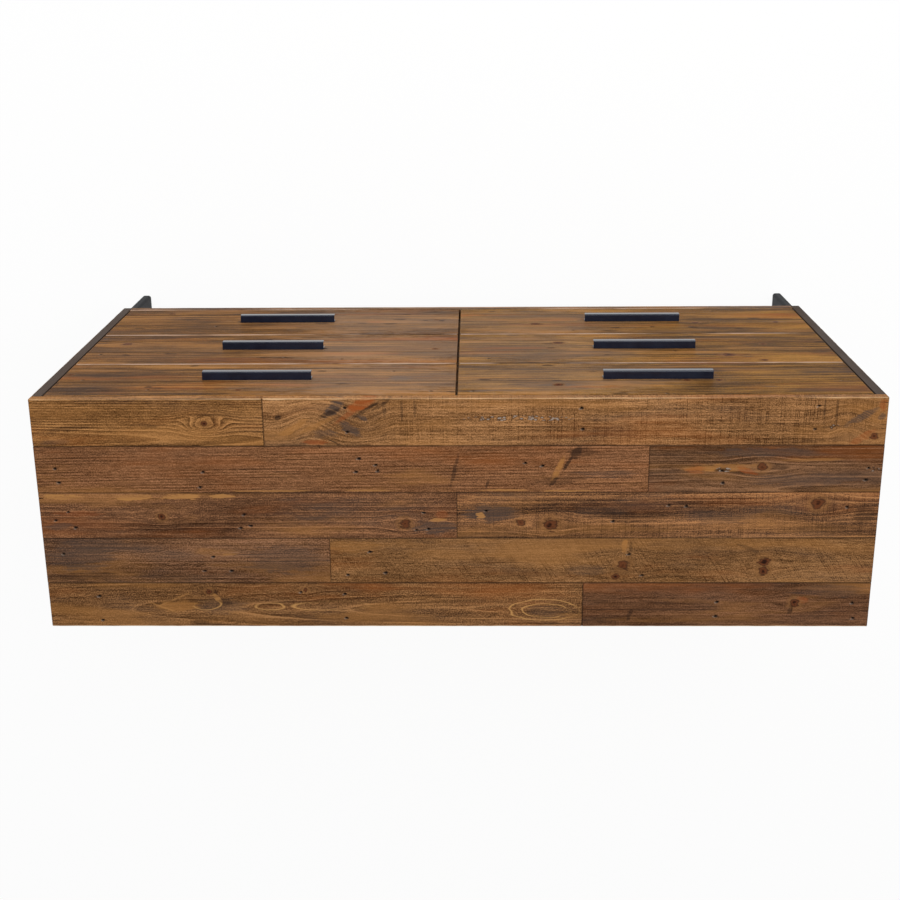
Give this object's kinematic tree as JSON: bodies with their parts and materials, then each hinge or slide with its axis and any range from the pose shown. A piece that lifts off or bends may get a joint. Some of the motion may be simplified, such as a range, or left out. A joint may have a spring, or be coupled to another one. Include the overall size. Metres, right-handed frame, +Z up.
{
  "type": "chest of drawers",
  "caption": "Low wide dresser of stained reclaimed planks, with flush drawer fronts on full-extension side slides, black channel pulls and short black steel legs.",
  "frame": {"origin": "on the floor under the middle of the whole dresser, handles included", "axes": "+Z up, +X along the dresser to the right of someone facing the drawers, -Y the way the drawers open"},
  "size_m": [1.524, 0.461, 0.87],
  "materials": {
    "reclaimed_wood": "brown stained reclaimed pine under a satin clear coat",
    "plain_wood": "planed and lightly sealed softwood",
    "plywood": "sanded plywood",
    "black_metal": "satin black powder coat",
    "zinc_steel": "bright zinc plate",
    "black_plastic": "moulded matte"
  },
  "bodies": {
    "case": {"top_boards": "reclaimed_wood", "left_side_boards": "reclaimed_wood", "right_side_boards": "reclaimed_wood", "case_bottom": "reclaimed_wood", "centre_divider": "plain_wood", "back_panel": "plywood", "front_top_rails": "plain_wood", "rear_top_rails": "plain_wood", "front_left_leg": "black_metal", "front_right_leg": "black_metal", "rear_left_leg": "black_metal", "rear_right_leg": "black_metal", "leg_glides": "black_plastic", "leg_screws": "zinc_steel", "case_dowels": "plain_wood", "top_screws": "zinc_steel", "back_screws": "zinc_steel", "slide_outer_rails": "zinc_steel"},
    "top_left_drawer": {"top_left_drawer_front": "reclaimed_wood", "top_left_drawer_box": "plain_wood", "top_left_drawer_bottom": "plywood", "top_left_drawer_screws": "zinc_steel", "top_left_handle": "black_metal", "top_left_slide_inner": "zinc_steel"},
    "top_left_slide_middles": {"top_left_slide_middle": "zinc_steel"},
    "top_right_drawer": {"top_right_drawer_front": "reclaimed_wood", "top_right_drawer_box": "plain_wood", "top_right_drawer_bottom": "plywood", "top_right_drawer_screws": "zinc_steel", "top_right_handle": "black_metal", "top_right_slide_inner": "zinc_steel"},
    "top_right_slide_middles": {"top_right_slide_middle": "zinc_steel"},
    "middle_left_drawer": {"middle_left_drawer_front": "reclaimed_wood", "middle_left_drawer_box": "plain_wood", "middle_left_drawer_bottom": "plywood", "middle_left_drawer_screws": "zinc_steel", "middle_left_handle": "black_metal", "middle_left_slide_inner": "zinc_steel"},
    "middle_left_slide_middles": {"middle_left_slide_middle": "zinc_steel"},
    "middle_right_drawer": {"middle_right_drawer_front": "reclaimed_wood", "middle_right_drawer_box": "plain_wood", "middle_right_drawer_bottom": "plywood", "middle_right_drawer_screws": "zinc_steel", "middle_right_handle": "black_metal", "middle_right_slide_inner": "zinc_steel"},
    "middle_right_slide_middles": {"middle_right_slide_middle": "zinc_steel"},
    "bottom_left_drawer": {"bottom_left_drawer_front": "reclaimed_wood", "bottom_left_drawer_box": "plain_wood", "bottom_left_drawer_bottom": "plywood", "bottom_left_drawer_screws": "zinc_steel", "bottom_left_handle": "black_metal", "bottom_left_slide_inner": "zinc_steel"},
    "bottom_left_slide_middles": {"bottom_left_slide_middle": "zinc_steel"},
    "bottom_right_drawer": {"bottom_right_drawer_front": "reclaimed_wood", "bottom_right_drawer_box": "plain_wood", "bottom_right_drawer_bottom": "plywood", "bottom_right_drawer_screws": "zinc_steel", "bottom_right_handle": "black_metal", "bottom_right_slide_inner": "zinc_steel"},
    "bottom_right_slide_middles": {"bottom_right_slide_middle": "zinc_steel"}
  },
  "joints": [
    {"name": "top_left_drawer_travel", "type": "slide", "parent": "case", "child": "top_left_drawer", "axis": [0, -1, 0], "range_m": [0, 0.38]},
    {"name": "top_left_slide_travel", "type": "slide", "parent": "case", "child": "top_left_slide_middles", "axis": [0, -1, 0], "range_m": [0, 0.19]},
    {"name": "top_right_drawer_travel", "type": "slide", "parent": "case", "child": "top_right_drawer", "axis": [0, -1, 0], "range_m": [0, 0.38]},
    {"name": "top_right_slide_travel", "type": "slide", "parent": "case", "child": "top_right_slide_middles", "axis": [0, -1, 0], "range_m": [0, 0.19]},
    {"name": "middle_left_drawer_travel", "type": "slide", "parent": "case", "child": "middle_left_drawer", "axis": [0, -1, 0], "range_m": [0, 0.38]},
    {"name": "middle_left_slide_travel", "type": "slide", "parent": "case", "child": "middle_left_slide_middles", "axis": [0, -1, 0], "range_m": [0, 0.19]},
    {"name": "middle_right_drawer_travel", "type": "slide", "parent": "case", "child": "middle_right_drawer", "axis": [0, -1, 0], "range_m": [0, 0.38]},
    {"name": "middle_right_slide_travel", "type": "slide", "parent": "case", "child": "middle_right_slide_middles", "axis": [0, -1, 0], "range_m": [0, 0.19]},
    {"name": "bottom_left_drawer_travel", "type": "slide", "parent": "case", "child": "bottom_left_drawer", "axis": [0, -1, 0], "range_m": [0, 0.38]},
    {"name": "bottom_left_slide_travel", "type": "slide", "parent": "case", "child": "bottom_left_slide_middles", "axis": [0, -1, 0], "range_m": [0, 0.19]},
    {"name": "bottom_right_drawer_travel", "type": "slide", "parent": "case", "child": "bottom_right_drawer", "axis": [0, -1, 0], "range_m": [0, 0.38]},
    {"name": "bottom_right_slide_travel", "type": "slide", "parent": "case", "child": "bottom_right_slide_middles", "axis": [0, -1, 0], "range_m": [0, 0.19]}
  ],
  "couplings": [
    {"joint": "top_left_slide_travel", "follows": "top_left_drawer_travel", "ratio": 0.5},
    {"joint": "top_right_slide_travel", "follows": "top_right_drawer_travel", "ratio": 0.5},
    {"joint": "middle_left_slide_travel", "follows": "middle_left_drawer_travel", "ratio": 0.5},
    {"joint": "middle_right_slide_travel", "follows": "middle_right_drawer_travel", "ratio": 0.5},
    {"joint": "bottom_left_slide_travel", "follows": "bottom_left_drawer_travel", "ratio": 0.5},
    {"joint": "bottom_right_slide_travel", "follows": "bottom_right_drawer_travel", "ratio": 0.5}
  ]
}
